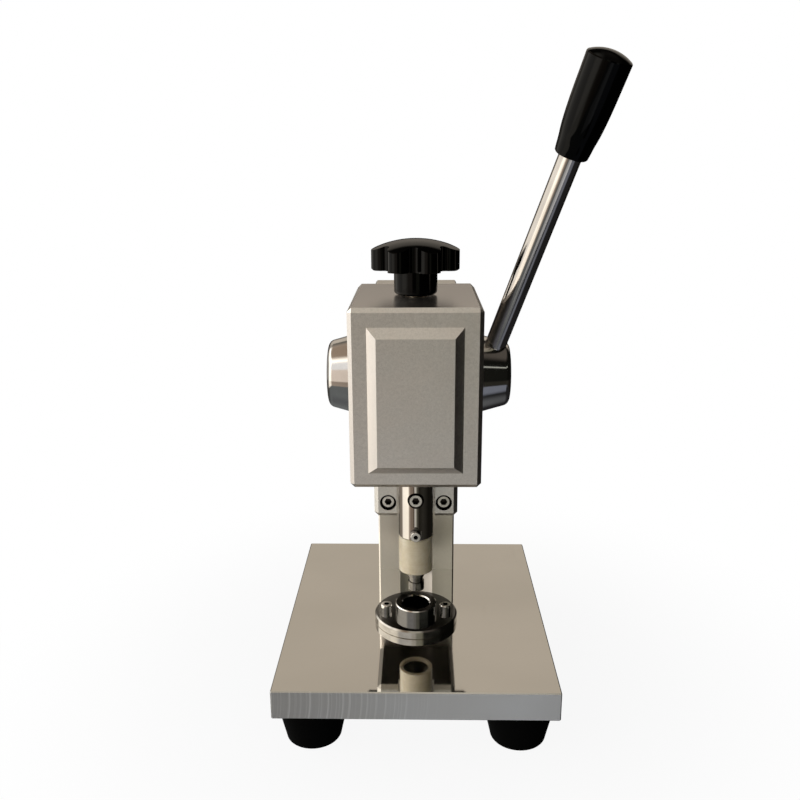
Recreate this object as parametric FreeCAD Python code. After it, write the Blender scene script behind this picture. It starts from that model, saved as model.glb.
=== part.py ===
import FreeCAD, Part
import os
import math
from FreeCAD import Vector as V

# Bench tablet press: base plate on rubber feet, rear column, head with a
# rack-cut ram, cross shaft with pinion, hand lever and a star-knob stop screw.
# Units are millimetres. While drawing, X = 0 / Y = 0 is the die axis, +Y points
# to the column and Z = 0 is the top of the base plate. The export step moves
# everything so the origin is the centre of the bounding box, on the bench.

# ---------------------------------------------------------------- dimensions
BASE_W = 155.0          # base plate width, X
BASE_Y0 = -76.5         # front edge of the plate
BASE_Y1 = 104.5         # rear edge of the plate
BASE_T = 17.0           # plate thickness
BASE_CH = 0.6           # edge chamfer

FOOT_X = 57.2
FOOT_Y0 = -56.2
FOOT_Y1 = 84.2
FOOT_H = 23.0
FOOT_R_TOP = 20.2
FOOT_R_BOT = 15.5
FOOT_SEAT = 15.2        # depth of the washer seat below the plate

COL_W = 51.0            # column width
COL_Y0 = 64.1           # column front face
COL_T = 17.0            # column thickness
HEAD_Z1 = 196.7         # top of head and of column

HEAD_W = 72.6
HEAD_Y0 = -27.3         # head front face
HEAD_Z0 = 96.0          # head underside
HEAD_CH = 2.4
ROOF_Z = 189.7          # inner roof
FLOOR_Z = 133.0         # top of the solid lower part inside the head
CAV_Y0 = -18.3          # inner front wall
PANEL_W = 52.1
PANEL_Z0 = 104.9
PANEL_Z1 = 186.5
PANEL_BEV = 5.2
PANEL_PROUD = 5.4

BLK_Y0 = 16.0           # guide block front face
BLK_Z0 = 60.0           # guide block underside
BLK_STEP_Z = 132.5      # top of its full-depth part
BLK_STEP_Y = 34.0       # front of its upper part
BLK_Z1 = 158.0
BLK_CH = 2.5
SLOT_W = 23.4
SLOT_D = 8.0

RAM_R = 10.2
RAM_TOP = 183.8
HOLDER_Z0 = 56.2        # lower end of punch holder
CLAMP_Z = 60.3          # clamp screw of the punch
JOIN_Z = 92.0           # holder / ram joint line
BUSH_R_IN = 10.25
BUSH_R_OUT = 12.5

SHAFT_Y = 18.4
SHAFT_Z = 150.4
SHAFT_R = 6.0
MODULE = 1.25
TEETH = 20
PITCH_R = MODULE * TEETH / 2.0      # 12.5
ADD = 1.10
DED = 1.45
THIN = 0.07             # tooth thinning per flank at the pitch line
PINION_W = 12.0
PITCH_Y = SHAFT_Y - PITCH_R         # rack pitch line

LEVER_X = 40.1          # where the lever's axis crosses the shaft's axis
LEVER_B = math.radians(16.08)       # outward lean
LEVER_T = math.radians(19.12)       # lean to the front
ROD_R = 6.0
GRIP_S0 = 135.0         # grip's lower end, along the lever axis

KNOB_Y = 18.4
KNOB_Z0 = 197.4
KNOB_HUB_R = 12.4
KNOB_R = 25.4
LOBES = 7

FLANGE_R = 25.0
FLANGE_T = 5.0
BOSS_R = 12.5
BOSS_Z = 11.0
DIE_BORE_R = 8.0
PUNCH_R = 7.95         # upper and lower punch
PUNCH_Z = 35.4          # face of the upper punch, just inside the sleeve
SLEEVE_Z0 = 33.8

REAR_SCREW_Y = 52.2     # socket screw that stands behind the die

SPRING_Y = 43.0
SPRING_Z0 = 122.0
SPRING_R = 5.4          # mean coil radius
WIRE_R = 0.65

ORIGIN = V(11.66, 14.0, -(BASE_T + FOOT_H))   # moved to 0,0,0 at export

os.makedirs("parts", exist_ok=True)
X, Y, Z = V(1, 0, 0), V(0, 1, 0), V(0, 0, 1)
PARTS = {}


# ------------------------------------------------------------------- helpers
def box(x0, x1, y0, y1, z0, z1):
    return Part.makeBox(x1 - x0, y1 - y0, z1 - z0, V(x0, y0, z0))


def cyl(r, p, d, h):
    return Part.makeCylinder(r, h, p, d)


def zcyl(r, x, y, z0, z1):
    return cyl(r, V(x, y, z0), Z, z1 - z0)


def revolve(pts, centre=V(0, 0, 0), direction=Z):
    # pts: (radius, height) pairs of a closed outline about the local axis
    w = Part.makePolygon([V(r, 0, h) for r, h in pts] + [V(pts[0][0], 0, pts[0][1])])
    s = Part.Face(w).revolve(V(0, 0, 0), Z, 360)
    rot = FreeCAD.Rotation(Z, direction)
    s.Placement = FreeCAD.Placement(centre, rot)
    return s


def fuse(shapes):
    s = shapes[0]
    for t in shapes[1:]:
        s = s.fuse(t)
    return s.removeSplitter()


def cut(s, tools):
    for t in tools:
        s = s.cut(t)
    return s


def chamfer(s, d, pick):
    edges = [e for e in s.Edges if pick(e)]
    return s.makeChamfer(d, edges) if edges else s


def fillet(s, d, pick):
    edges = [e for e in s.Edges if pick(e)]
    return s.makeFillet(d, edges) if edges else s


def mid(e):
    b = e.BoundBox
    return V((b.XMin + b.XMax) / 2, (b.YMin + b.YMax) / 2, (b.ZMin + b.ZMax) / 2)


def near(a, b, t=0.02):
    return abs(a - b) < t


def hexagon(af, p, d, depth):
    # hexagonal prism, across flats af, starting at p and running along d
    r = af / math.sqrt(3)
    pts = [V(r * math.cos(math.radians(60 * i)), r * math.sin(math.radians(60 * i)), 0) for i in range(6)]
    s = Part.Face(Part.makePolygon(pts + [pts[0]])).extrude(V(0, 0, depth))
    s.Placement = FreeCAD.Placement(p, FreeCAD.Rotation(Z, d))
    return s


def cap_screw(p, d, shank_r, length, head_r, head_h, key_af):
    # socket cap screw: p = under the head, d = direction of the shank
    up = V(0, 0, 0).sub(d)
    c = min(0.35, head_h * 0.12)
    head = revolve([(0, 0), (head_r, 0), (head_r, head_h - c), (head_r - c, head_h), (0, head_h)], p, up)
    shank = revolve([(0, 0), (shank_r, 0), (shank_r, length - 0.6), (shank_r - 0.6, length), (0, length)], p, d)
    s = head.fuse(shank).removeSplitter()
    top = p.add(V(up).multiply(head_h + 0.01))
    return s.cut(hexagon(key_af, top, d, head_h * 0.55))


def washer(p, d, r_in, r_out, t):
    return cyl(r_out, p, d, t).cut(cyl(r_in, p, d, t))


def group(shapes):
    return Part.makeCompound(shapes)


def add(name, shape):
    PARTS[name] = shape


# ---------------------------------------------------------------- base plate
plate = box(-BASE_W / 2, BASE_W / 2, BASE_Y0, BASE_Y1, -BASE_T, 0)
plate = chamfer(plate, BASE_CH, lambda e: True)
plate = cut(plate, [
    zcyl(15.1, 0, 0, -10.2, 1),                 # seat of the die holder's spigot
    zcyl(3.0, 0, 0, -BASE_T - 1, -9),           # knock-out hole under the lower punch
    zcyl(3.05, 0, REAR_SCREW_Y, -12.5, 1),      # tapped hole behind the die
])
for sx in (-18.0, 18.0):
    plate = plate.cut(zcyl(2.05, sx, 0.8, -11.5, 1))
for sx in (-15.0, 15.0):
    plate = plate.cut(zcyl(4.2, sx, COL_Y0 + COL_T / 2, -BASE_T - 1, 1))
    plate = plate.cut(zcyl(7.0, sx, COL_Y0 + COL_T / 2, -BASE_T - 1, -BASE_T + 8.6))
for fx in (-FOOT_X, FOOT_X):
    for fy in (FOOT_Y0, FOOT_Y1):
        plate = plate.cut(zcyl(2.55, fx, fy, -BASE_T - 1, -4.0))
add("base_plate", plate)

# ---------------------------------------------------------------------- feet
FZ1 = -BASE_T
FZ0 = FZ1 - FOOT_H
feet, fscrews, fwash = [], [], []
for fx in (-FOOT_X, FOOT_X):
    for fy in (FOOT_Y0, FOOT_Y1):
        pts = [(2.8, 0), (2.8, -FOOT_SEAT), (6.4, -FOOT_SEAT), (6.4, -FOOT_H), (FOOT_R_BOT - 1.4, -FOOT_H)]
        for i in range(1, 7):
            a = math.radians(15 * i)
            pts.append((FOOT_R_BOT - 1.4 + 1.4 * math.sin(a), -FOOT_H + 1.4 - 1.4 * math.cos(a)))
        pts += [(FOOT_R_TOP, -0.8), (FOOT_R_TOP - 0.6, 0)]
        feet.append(revolve(pts, V(fx, fy, FZ1)))
        fwash.append(washer(V(fx, fy, FZ1 - FOOT_SEAT - 1.2), Z, 2.7, 5.6, 1.2))
        fscrews.append(cap_screw(V(fx, fy, FZ1 - FOOT_SEAT - 1.2), Z, 2.5, 25.0, 4.25, 5.0, 4.0))
add("rubber_feet", group(feet))
add("foot_washers", group(fwash))
add("foot_screws", group(fscrews))

# -------------------------------------------------------------------- column
column = box(-COL_W / 2, COL_W / 2, COL_Y0, COL_Y0 + COL_T, 0, HEAD_Z1)
column = chamfer(column, 0.9, lambda e: not near(e.BoundBox.ZMax, 0))
# shallow hollow-ground relief down the middle of the front face, below the block
GR = 32.0
column = column.cut(zcyl(GR, 0, COL_Y0 - math.sqrt(GR * GR - 11.0 * 11.0), -1, BLK_Z0 + 5.0))
MID_Y = COL_Y0 + COL_T / 2
for sx in (-15.0, 15.0):
    column = column.cut(zcyl(4.05, sx, MID_Y, -1, 26))
REAR_SCREWS = [(-17.0, 84.0), (17.0, 84.0), (-17.0, 150.0), (17.0, 150.0)]
REAR = COL_Y0 + COL_T
for sx, sz in REAR_SCREWS:
    column = column.cut(cyl(3.1, V(sx, COL_Y0 - 1, sz), Y, COL_T + 2))
    column = column.cut(cyl(5.4, V(sx, REAR - 6.6, sz), Y, 8))
FRONT_SCREWS = [(-17.0, 69.4), (17.0, 69.4)]
for sx, sz in FRONT_SCREWS:
    column = column.cut(cyl(2.55, V(sx, COL_Y0 - 1, sz), Y, 13))
add("column", column)
add("column_base_screws", group([
    cap_screw(V(sx, MID_Y, -BASE_T + 8.4), Z, 4.0, 32.0, 6.5, 8.0, 6.0) for sx in (-15.0, 15.0)]))
add("column_block_screws", group([
    cap_screw(V(sx, REAR - 6.6, sz), V(0, -1, 0), 3.0, 28.0, 5.0, 6.0, 5.0) for sx, sz in REAR_SCREWS]))

# --------------------------------------------------------------- guide block
low = box(-COL_W / 2, COL_W / 2, BLK_Y0, COL_Y0, BLK_Z0, BLK_STEP_Z)
low = chamfer(low, BLK_CH, lambda e: (near(e.BoundBox.YMax, BLK_Y0) and e.BoundBox.ZLength > 10)
              or (near(e.BoundBox.ZMax, BLK_Z0) and not near(e.BoundBox.YMin, COL_Y0)))
up = box(-COL_W / 2, COL_W / 2, BLK_STEP_Y, COL_Y0, BLK_STEP_Z - 5, BLK_Z1)
block = low.fuse(up).removeSplitter()
block = block.cut(box(-SLOT_W / 2, SLOT_W / 2, BLK_Y0 - 1, BLK_Y0 + SLOT_D, BLK_Z0 - 1, BLK_STEP_Z + 1))
block = block.cut(zcyl(6.9, 0, SPRING_Y, SPRING_Z0, BLK_Z1 + 1))
for sx, sz in FRONT_SCREWS:
    block = block.cut(cyl(2.7, V(sx, BLK_Y0 - 1, sz), Y, COL_Y0 - BLK_Y0 + 2))
    block = block.cut(cyl(5.0, V(sx, BLK_Y0 - 1, sz), Y, 7.4))
for sx, sz in REAR_SCREWS:
    block = block.cut(cyl(3.05, V(sx, COL_Y0 - 19.0, sz), Y, 20))
SIDE_SCREWS = [(52.0, 112.0), (52.0, 142.0)]
for sy, sz in SIDE_SCREWS:
    for s in (-1, 1):
        block = block.cut(cyl(2.05, V(s * (COL_W / 2 + 1), sy, sz), V(-s, 0, 0), 11.0))
add("guide_block", block)
add("guide_block_screws", group([
    cap_screw(V(sx, BLK_Y0 + 6.4, sz), Y, 2.5, 52.0, 4.25, 5.0, 4.0) for sx, sz in FRONT_SCREWS]))

# -------------------------------------------------------------- head housing
hw = HEAD_W / 2
head = box(-hw, hw, HEAD_Y0, COL_Y0, HEAD_Z0, HEAD_Z1)
head = chamfer(head, HEAD_CH, lambda e: not (near(e.BoundBox.YMin, COL_Y0)))
pz0, pz1, pw = PANEL_Z0, PANEL_Z1, PANEL_W / 2
outer = Part.makePolygon([V(-pw, HEAD_Y0, pz0), V(pw, HEAD_Y0, pz0), V(pw, HEAD_Y0, pz1), V(-pw, HEAD_Y0, pz1), V(-pw, HEAD_Y0, pz0)])
b = PANEL_BEV
inner = Part.makePolygon([V(-pw + b, HEAD_Y0 - PANEL_PROUD, pz0 + b), V(pw - b, HEAD_Y0 - PANEL_PROUD, pz0 + b),
                          V(pw - b, HEAD_Y0 - PANEL_PROUD, pz1 - b), V(-pw + b, HEAD_Y0 - PANEL_PROUD, pz1 - b),
                          V(-pw + b, HEAD_Y0 - PANEL_PROUD, pz0 + b)])
panel = Part.makeLoft([outer, inner], True, True)
root = box(-pw, pw, HEAD_Y0, HEAD_Y0 + 2, pz0, pz1)
head = head.fuse(root.fuse(panel)).removeSplitter()
head = cut(head, [
    box(-COL_W / 2, COL_W / 2, CAV_Y0, COL_Y0 + 1, FLOOR_Z, ROOF_Z),       # working space
    box(-COL_W / 2, COL_W / 2, BLK_Y0, COL_Y0 + 1, HEAD_Z0 - 1, FLOOR_Z + 1),  # seat of the guide block
    zcyl(BUSH_R_OUT, 0, 0, HEAD_Z0 - 1, FLOOR_Z + 1),                      # ram bush bore
    zcyl(14.0, 0, 0, FLOOR_Z - 2.0, FLOOR_Z + 1),                          # recess for its flange
    zcyl(4.1, 0, KNOB_Y, ROOF_Z - 1, HEAD_Z1 + 1),                         # stop screw thread
])
for s in (-1, 1):
    head = head.cut(cyl(8.0, V(s * (hw + 1), SHAFT_Y, SHAFT_Z), V(-s, 0, 0), 20))
    for sy, sz in SIDE_SCREWS:
        head = head.cut(cyl(2.2, V(s * (hw + 1), sy, sz), V(-s, 0, 0), 13))
        head = head.cut(cyl(3.8, V(s * (hw + 1), sy, sz), V(-s, 0, 0), 5.4))
add("head_housing", head)
add("head_side_screws", group([
    cap_screw(V(s * (hw - 4.4), sy, sz), V(-s, 0, 0), 2.0, 15.5, 3.5, 4.0, 3.0)
    for s in (-1, 1) for sy, sz in SIDE_SCREWS]))

# ------------------------------------------------------------------- bushes
add("ram_bush", revolve([(BUSH_R_IN, HEAD_Z0 + 0.4), (BUSH_R_OUT, HEAD_Z0 + 0.4), (BUSH_R_OUT, FLOOR_Z - 2.0),
                         (14.0, FLOOR_Z - 2.0), (14.0, FLOOR_Z), (BUSH_R_IN, FLOOR_Z)]))
wall = hw - COL_W / 2
add("shaft_bushes", group([
    revolve([(SHAFT_R + 0.05, 0), (10.0, 0), (10.0, 2.0), (8.0, 2.0), (8.0, 2.0 + wall - 0.3), (SHAFT_R + 0.05, 2.0 + wall - 0.3)],
            V(s * (COL_W / 2 - 2.0), SHAFT_Y, SHAFT_Z), V(s, 0, 0)) for s in (-1, 1)]))

# ------------------------------------------------------- ram with rack teeth
ram = zcyl(RAM_R, 0, 0, JOIN_Z, RAM_TOP)
ram = chamfer(ram, 0.6, lambda e: near(e.BoundBox.ZMin, RAM_TOP))
ram = ram.fuse(zcyl(5.0, 0, 0, 74.5, JOIN_Z + 1)).removeSplitter()
p = math.pi * MODULE
tip_y, root_y = PITCH_Y + ADD, PITCH_Y - DED
ta = math.tan(math.radians(20))
half = p / 4 - THIN                       # half tooth thickness at the pitch line
n_low = int(round((SHAFT_Z - 139.0) / p))
zs = [SHAFT_Z + (i - n_low) * p for i in range(12)]       # centres of the gaps
outline = [(14.0, zs[0] - p / 2 - 1.0), (14.0, zs[-1] + p / 2 + 1.0)]
zig = [(tip_y, zs[0] - p / 2 - 1.0)]
for gz in zs:
    w_tip = p / 2 - half + ADD * ta       # half gap width at the tooth tips
    w_root = p / 2 - half - DED * ta
    zig += [(tip_y, gz - w_tip), (root_y, gz - w_root), (root_y, gz + w_root), (tip_y, gz + w_tip)]
zig.append((tip_y, zs[-1] + p / 2 + 1.0))
pts = [V(-12, y, z) for y, z in zig] + [V(-12, y, z) for y, z in reversed(outline)]
rack_cut = Part.Face(Part.makePolygon(pts + [pts[0]])).extrude(V(24, 0, 0))
ram = ram.cut(rack_cut)
ram = ram.cut(zcyl(2.55, 0, 0, RAM_TOP - 18, RAM_TOP + 1))
ram = ram.cut(cyl(2.55, V(0, -8, 81.4), Y, 11.5))
add("ram", ram)

# ------------------------------------------------------------- punch holder
holder = zcyl(RAM_R, 0, 0, HOLDER_Z0, JOIN_Z)
holder = chamfer(holder, 0.5, lambda e: near(e.BoundBox.ZMax, HOLDER_Z0))
holder = cut(holder, [
    zcyl(5.05, 0, 0, 74.0, JOIN_Z + 1),
    zcyl(5.05, 0, 0, HOLDER_Z0 - 1, 72.0),
    cyl(4.8, V(0, -RAM_R - 1, 81.4), Y, 5.6),
    cyl(2.75, V(0, -RAM_R - 1, 81.4), Y, 8.0),
    cyl(2.05, V(0, -RAM_R - 1, CLAMP_Z), Y, 7.0),
    cyl(3.6, V(0, -RAM_R - 1, CLAMP_Z), Y, 1.5),
])
add("punch_holder", holder)
add("holder_screw", cap_screw(V(0, -5.6, 81.4), Y, 2.5, 8.4, 4.25, 5.0, 4.0))
add("punch_clamp_screw", cap_screw(V(0, -9.7, CLAMP_Z), Y, 2.0, 5.4, 3.1, 4.6, 2.5))

# ------------------------------------------------- upper punch and sleeve
upper = revolve([(0, PUNCH_Z), (PUNCH_R - 0.3, PUNCH_Z), (PUNCH_R, PUNCH_Z + 0.3), (PUNCH_R, 55.6), (5.0, 55.6), (5.0, 71.0), (0, 71.0)])
upper = upper.cut(box(-6, 6, -6, -4.2, 57.5, 66))      # flat under the clamp screw
add("upper_punch", upper)
add("nylon_sleeve", revolve([(8.3, SLEEVE_Z0), (9.9, SLEEVE_Z0), (10.2, SLEEVE_Z0 + 0.3), (10.2, 56.15), (8.0, 56.15), (8.0, SLEEVE_Z0 + 0.3)]))

# ------------------------------------------------ stop arm and return spring
arm = box(-12.0, 12.0, 0, 50.0, RAM_TOP, RAM_TOP + 5.0).fuse(zcyl(12.0, 0, 0, RAM_TOP, RAM_TOP + 5.0)).removeSplitter()
arm = chamfer(arm, 3.0, lambda e: near(e.BoundBox.YMin, 50.0) and e.BoundBox.ZLength > 4)
arm = arm.fuse(revolve([(0, 0.1), (4.2, 0.1), (4.2, -2.6), (3.6, -3.2), (0, -3.2)], V(0, SPRING_Y, RAM_TOP))).removeSplitter()
arm = arm.cut(box(-6.9, 6.9, 8.6, 34.2, RAM_TOP - 1, RAM_TOP + 3.3))     # pocket that clears the pinion
arm = cut(arm, [zcyl(2.65, 0, 0, RAM_TOP - 1, RAM_TOP + 6),
                Part.makeCone(2.6, 5.35, 2.75, V(0, 0, RAM_TOP + 2.25), Z)])
add("stop_arm", arm)
fh = Part.makeCone(2.5, 5.1, 2.6, V(0, 0, RAM_TOP + 2.3), Z).fuse(
    revolve([(0, -15.0), (1.9, -15.0), (2.5, -14.4), (2.5, 2.4), (0, 2.4)], V(0, 0, RAM_TOP))).removeSplitter()
fh = fh.cut(hexagon(3.0, V(0, 0, RAM_TOP + 5.0), V(0, 0, -1), 2.4))
add("stop_arm_screw", fh)
spring_h = RAM_TOP - SPRING_Z0 - 2 * WIRE_R - 0.3
helix = Part.makeHelix(spring_h / 12.0, spring_h, SPRING_R)
prof = Part.Wire([Part.makeCircle(WIRE_R, V(SPRING_R, 0, 0), V(0, 1, 0))])
spring = Part.Wire(helix).makePipeShell([prof], True, True)
spring = spring.translated(V(0, SPRING_Y, SPRING_Z0 + WIRE_R + 0.1))
add("return_spring", spring)

# --------------------------------------------------------- shaft and pinion
def inv_pts(n=7):
    rb = PITCH_R * math.cos(math.radians(20))
    ra = PITCH_R + ADD
    tp = math.sqrt((PITCH_R / rb) ** 2 - 1)
    inv_p = tp - math.atan(tp)
    half_a = math.pi / (2 * TEETH) - THIN / PITCH_R
    out = []
    for i in range(n):
        r = rb + (ra - rb) * i / (n - 1)
        t = math.sqrt(max(0.0, (r / rb) ** 2 - 1))
        out.append((r, half_a + inv_p - (t - math.atan(t))))
    return rb, out


rb, flank = inv_pts()
rr = PITCH_R - DED
prof = []
for k in range(TEETH):
    c = -math.pi / 2 + 2 * math.pi * k / TEETH      # a tooth points at the rack
    prof.append((rr, c - math.pi / TEETH))
    prof.append((rr, c - flank[0][1] - 0.035))
    prof += [(r, c - a) for r, a in flank]
    prof += [(r, c + a) for r, a in reversed(flank)]
    prof.append((rr, c + flank[0][1] + 0.035))
# angle measured so that -90 degrees is the -Y side
gp = [V(-PINION_W / 2, SHAFT_Y + r * math.sin(a), SHAFT_Z + r * math.cos(a)) for r, a in prof]
pinion = Part.Face(Part.makePolygon(gp + [gp[0]])).extrude(V(PINION_W, 0, 0))
pinion = pinion.cut(cyl(SHAFT_R + 0.02, V(-20, SHAFT_Y, SHAFT_Z), X, 40))
pinion = pinion.cut(box(-20, 20, SHAFT_Y - 2.0, SHAFT_Y + 2.0, SHAFT_Z, SHAFT_Z + SHAFT_R + 1.9))
add("pinion", pinion)

HUB_L_END, HUB_R_END = 50.8, 54.4
shaft = cyl(SHAFT_R, V(-HUB_L_END + 3.0, SHAFT_Y, SHAFT_Z), X, HUB_L_END + HUB_R_END - 6.0)
shaft = chamfer(shaft, 0.6, lambda e: e.BoundBox.XLength < 0.01)
shaft = shaft.cut(box(-6.0, 6.0, SHAFT_Y - 2.0, SHAFT_Y + 2.0, SHAFT_Z + SHAFT_R - 2.4, SHAFT_Z + SHAFT_R + 1))
add("cross_shaft", shaft)
add("shaft_key", box(-5.95, 5.95, SHAFT_Y - 1.98, SHAFT_Y + 1.98, SHAFT_Z + SHAFT_R - 2.38, SHAFT_Z + SHAFT_R + 1.7))
add("pinion_spacers", group([
    revolve([(SHAFT_R + 0.02, 0), (9.0, 0), (9.0, COL_W / 2 - 2.2 - 0.1 - PINION_W / 2), (SHAFT_R + 0.02, COL_W / 2 - 2.2 - 0.1 - PINION_W / 2)],
            V(s * (PINION_W / 2 + 0.05), SHAFT_Y, SHAFT_Z), V(s, 0, 0)) for s in (-1, 1)]))


# ------------------------------------------------------------- shaft hubs
def hub(s, end):
    x0 = hw + 0.5                       # small gap to the head's side
    slope = math.tan(math.radians(15.5))
    r_at = lambda x: 21.6 - (x - 41.5) * slope
    f = 4.2
    pts = [(SHAFT_R + 0.02, 0), (19.5, 0), (19.5, 0.8), (r_at(x0 + 0.8) - 0.4, 0.8), (r_at(x0 + 1.2), 1.2)]
    # fillet between the cone and the flat end
    xe = end - x0
    re = r_at(end)
    t = f * math.tan(math.radians((90 - 15.5) / 2))
    cx, cr = xe - f, None
    cr = re - t
    cr = r_at(end - f) - f / math.cos(math.radians(15.5))
    for i in range(0, 9):
        a = math.radians(15.5 + (90 - 15.5) * i / 8)
        pts.append((cr + f * math.cos(a), cx + f * math.sin(a)))
    pts += [(7.4, xe), (6.6, xe - 1.2), (SHAFT_R + 0.02, xe - 1.2)]
    h = revolve(pts, V(s * x0, SHAFT_Y, SHAFT_Z), V(s, 0, 0))
    return h


left_hub = hub(-1, HUB_L_END)
lever_hub = hub(1, HUB_R_END)
# set screw holes, on the side away from the operator
SET_X = 44.0
left_hub = left_hub.cut(cyl(2.55, V(-SET_X, SHAFT_Y + 5.5, SHAFT_Z), Y, 20))
lever_hub = lever_hub.cut(cyl(2.55, V(SET_X, SHAFT_Y + 5.5, SHAFT_Z), Y, 20))

A = V(LEVER_X, SHAFT_Y, SHAFT_Z)
D = V(math.sin(LEVER_B), -math.cos(LEVER_B) * math.sin(LEVER_T), math.cos(LEVER_B) * math.cos(LEVER_T))
at = lambda s: A.add(V(D).multiply(s))
lever_hub = lever_hub.cut(cyl(ROD_R + 0.02, at(8.6), D, 30))
add("left_hub", left_hub)
add("lever_hub", lever_hub)
sets = []
for sx in (-SET_X, SET_X):
    g = revolve([(0, 0), (1.6, 0), (2.5, 0.9), (2.5, 10.0), (0, 10.0)], V(sx, SHAFT_Y + 6.0, SHAFT_Z), Y)
    sets.append(g.cut(hexagon(2.5, V(sx, SHAFT_Y + 16.01, SHAFT_Z), V(0, -1, 0), 3.5)))
add("hub_set_screws", group(sets))

# ----------------------------------------------------------- lever and grip
rod = revolve([(0, 9.0), (ROD_R - 0.8, 9.0), (ROD_R, 9.8), (ROD_R, GRIP_S0 + 1.5), (4.0, GRIP_S0 + 1.5),
               (4.0, GRIP_S0 + 28.0), (3.4, GRIP_S0 + 28.6), (0, GRIP_S0 + 28.6)], A, D)
add("lever_rod", rod)
G = [(8.1, 0.0), (8.65, 0.6), (9.02, 3.5), (9.45, 7.7), (9.95, 11.0), (10.35, 14.5), (10.62, 18.0), (10.85, 22.0),
     (11.03, 26.5), (11.15, 31.0), (11.24, 36.5), (11.32, 42.0), (11.42, 48.2)]
gp = [V(r, 0, h) for r, h in G]
spl = Part.BSplineCurve()
spl.interpolate(gp[1:])
END_R = (11.0 ** 2 + 2.95 ** 2) / (2 * 2.95)
edges = [Part.makeLine(V(0, 0, 0), gp[0]), Part.makeLine(gp[0], gp[1]), spl.toShape(),
         Part.makeLine(gp[-1], V(11.0, 0, 48.8)),
         Part.Arc(V(11.0, 0, 48.8), V(END_R * math.sin(0.27), 0, 51.75 - END_R * (1 - math.cos(0.27))), V(0, 0, 51.75)).toShape(),
         Part.makeLine(V(0, 0, 51.75), V(0, 0, 0))]
grip = Part.Face(Part.Wire(edges)).revolve(V(0, 0, 0), Z, 360)
grip = grip.cut(zcyl(ROD_R + 0.02, 0, 0, -1, 1.52)).cut(zcyl(4.02, 0, 0, 0, 29.0))
grip.Placement = FreeCAD.Placement(at(GRIP_S0), FreeCAD.Rotation(Z, D))
add("lever_grip", grip)

# ------------------------------------------------------- stop screw and knob
TIP_Z = 189.0
add("stop_pad", revolve([(0, 0), (2.9, 0), (3.2, 0.3), (3.2, 2.6), (1.5, 2.6), (1.5, 5.4), (0, 5.4)], V(0, KNOB_Y, TIP_Z)))
screw = revolve([(1.6, 0), (3.4, 0), (4.0, 0.6), (4.0, 22.0), (0, 22.0), (0, 5.0), (1.6, 5.0)], V(0, KNOB_Y, TIP_Z + 2.7))
add("adjusting_screw", screw)
add("knob_insert", revolve([(4.02, 0.3), (6.6, 0.3), (6.6, 6.0), (5.9, 6.6), (5.9, 8.0), (6.6, 8.6), (6.6, 14.0), (4.02, 14.0)],
                           V(0, KNOB_Y, KNOB_Z0)))
lobe_r, lobe_c = 6.4, KNOB_R - 6.4
star = zcyl(KNOB_R - 5.6, 0, 0, 14.2, 34)
for i in range(LOBES):
    a = math.radians(-90 + 23.0 + i * 360.0 / LOBES)
    star = star.fuse(zcyl(lobe_r, lobe_c * math.cos(a), lobe_c * math.sin(a), 14.2, 34))
star = star.removeSplitter()
# round the valleys between the lobes
vr = 3.6
for i in range(LOBES):
    a = math.radians(-90 + 23.0 + (i + 0.5) * 360.0 / LOBES)
    star = star.cut(zcyl(vr, (KNOB_R - 2.9) * math.cos(a), (KNOB_R - 2.9) * math.sin(a), 13, 35))
dome_pts = [(0, 10.0), (24.6, 14.2), (25.6, 15.2), (25.6, 24.6)]
R = 57.0
for i in range(0, 10):
    r = 25.0 * (1 - i / 9.0)
    dome_pts.append((r, 31.3 - R + math.sqrt(R * R - r * r)))
dome = Part.Face(Part.makePolygon([V(r, 0, h) for r, h in [(0, 14.2)] + dome_pts[1:4]] +
                                  [V(r, 0, h) for r, h in dome_pts[4:]] + [V(0, 0, 14.2)])).revolve(V(0, 0, 0), Z, 360)
arc = Part.Arc(V(25.0, 0, dome_pts[4][1]), V(13.0, 0, 31.3 - R + math.sqrt(R * R - 169.0)), V(0, 0, 31.3)).toShape()
w = Part.Wire([Part.makeLine(V(0, 0, 14.2), V(24.6, 0, 14.2)), Part.makeLine(V(24.6, 0, 14.2), V(25.6, 0, 15.2)),
               Part.makeLine(V(25.6, 0, 15.2), V(25.6, 0, dome_pts[4][1] - 0.8)),
               Part.makeLine(V(25.6, 0, dome_pts[4][1] - 0.8), V(25.0, 0, dome_pts[4][1])), arc,
               Part.makeLine(V(0, 0, 31.3), V(0, 0, 14.2))])
dome = Part.Face(w).revolve(V(0, 0, 0), Z, 360)
star = star.common(dome)
hubp = revolve([(0, 0), (KNOB_HUB_R - 2.0, 0), (KNOB_HUB_R - 1.0, 0.27), (KNOB_HUB_R - 0.27, 1.0), (KNOB_HUB_R, 2.0), (KNOB_HUB_R, 15.0), (0, 15.0)])
star = star.fuse(hubp).removeSplitter()
star = star.cut(revolve([(0, -1), (6.62, -1), (6.62, 6.0), (5.92, 6.6), (5.92, 8.0), (6.62, 8.6), (6.62, 14.1), (4.3, 14.1), (4.3, 17.6), (0, 17.6)]))
star = star.translated(V(0, KNOB_Y, KNOB_Z0))
add("star_knob", star)

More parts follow.
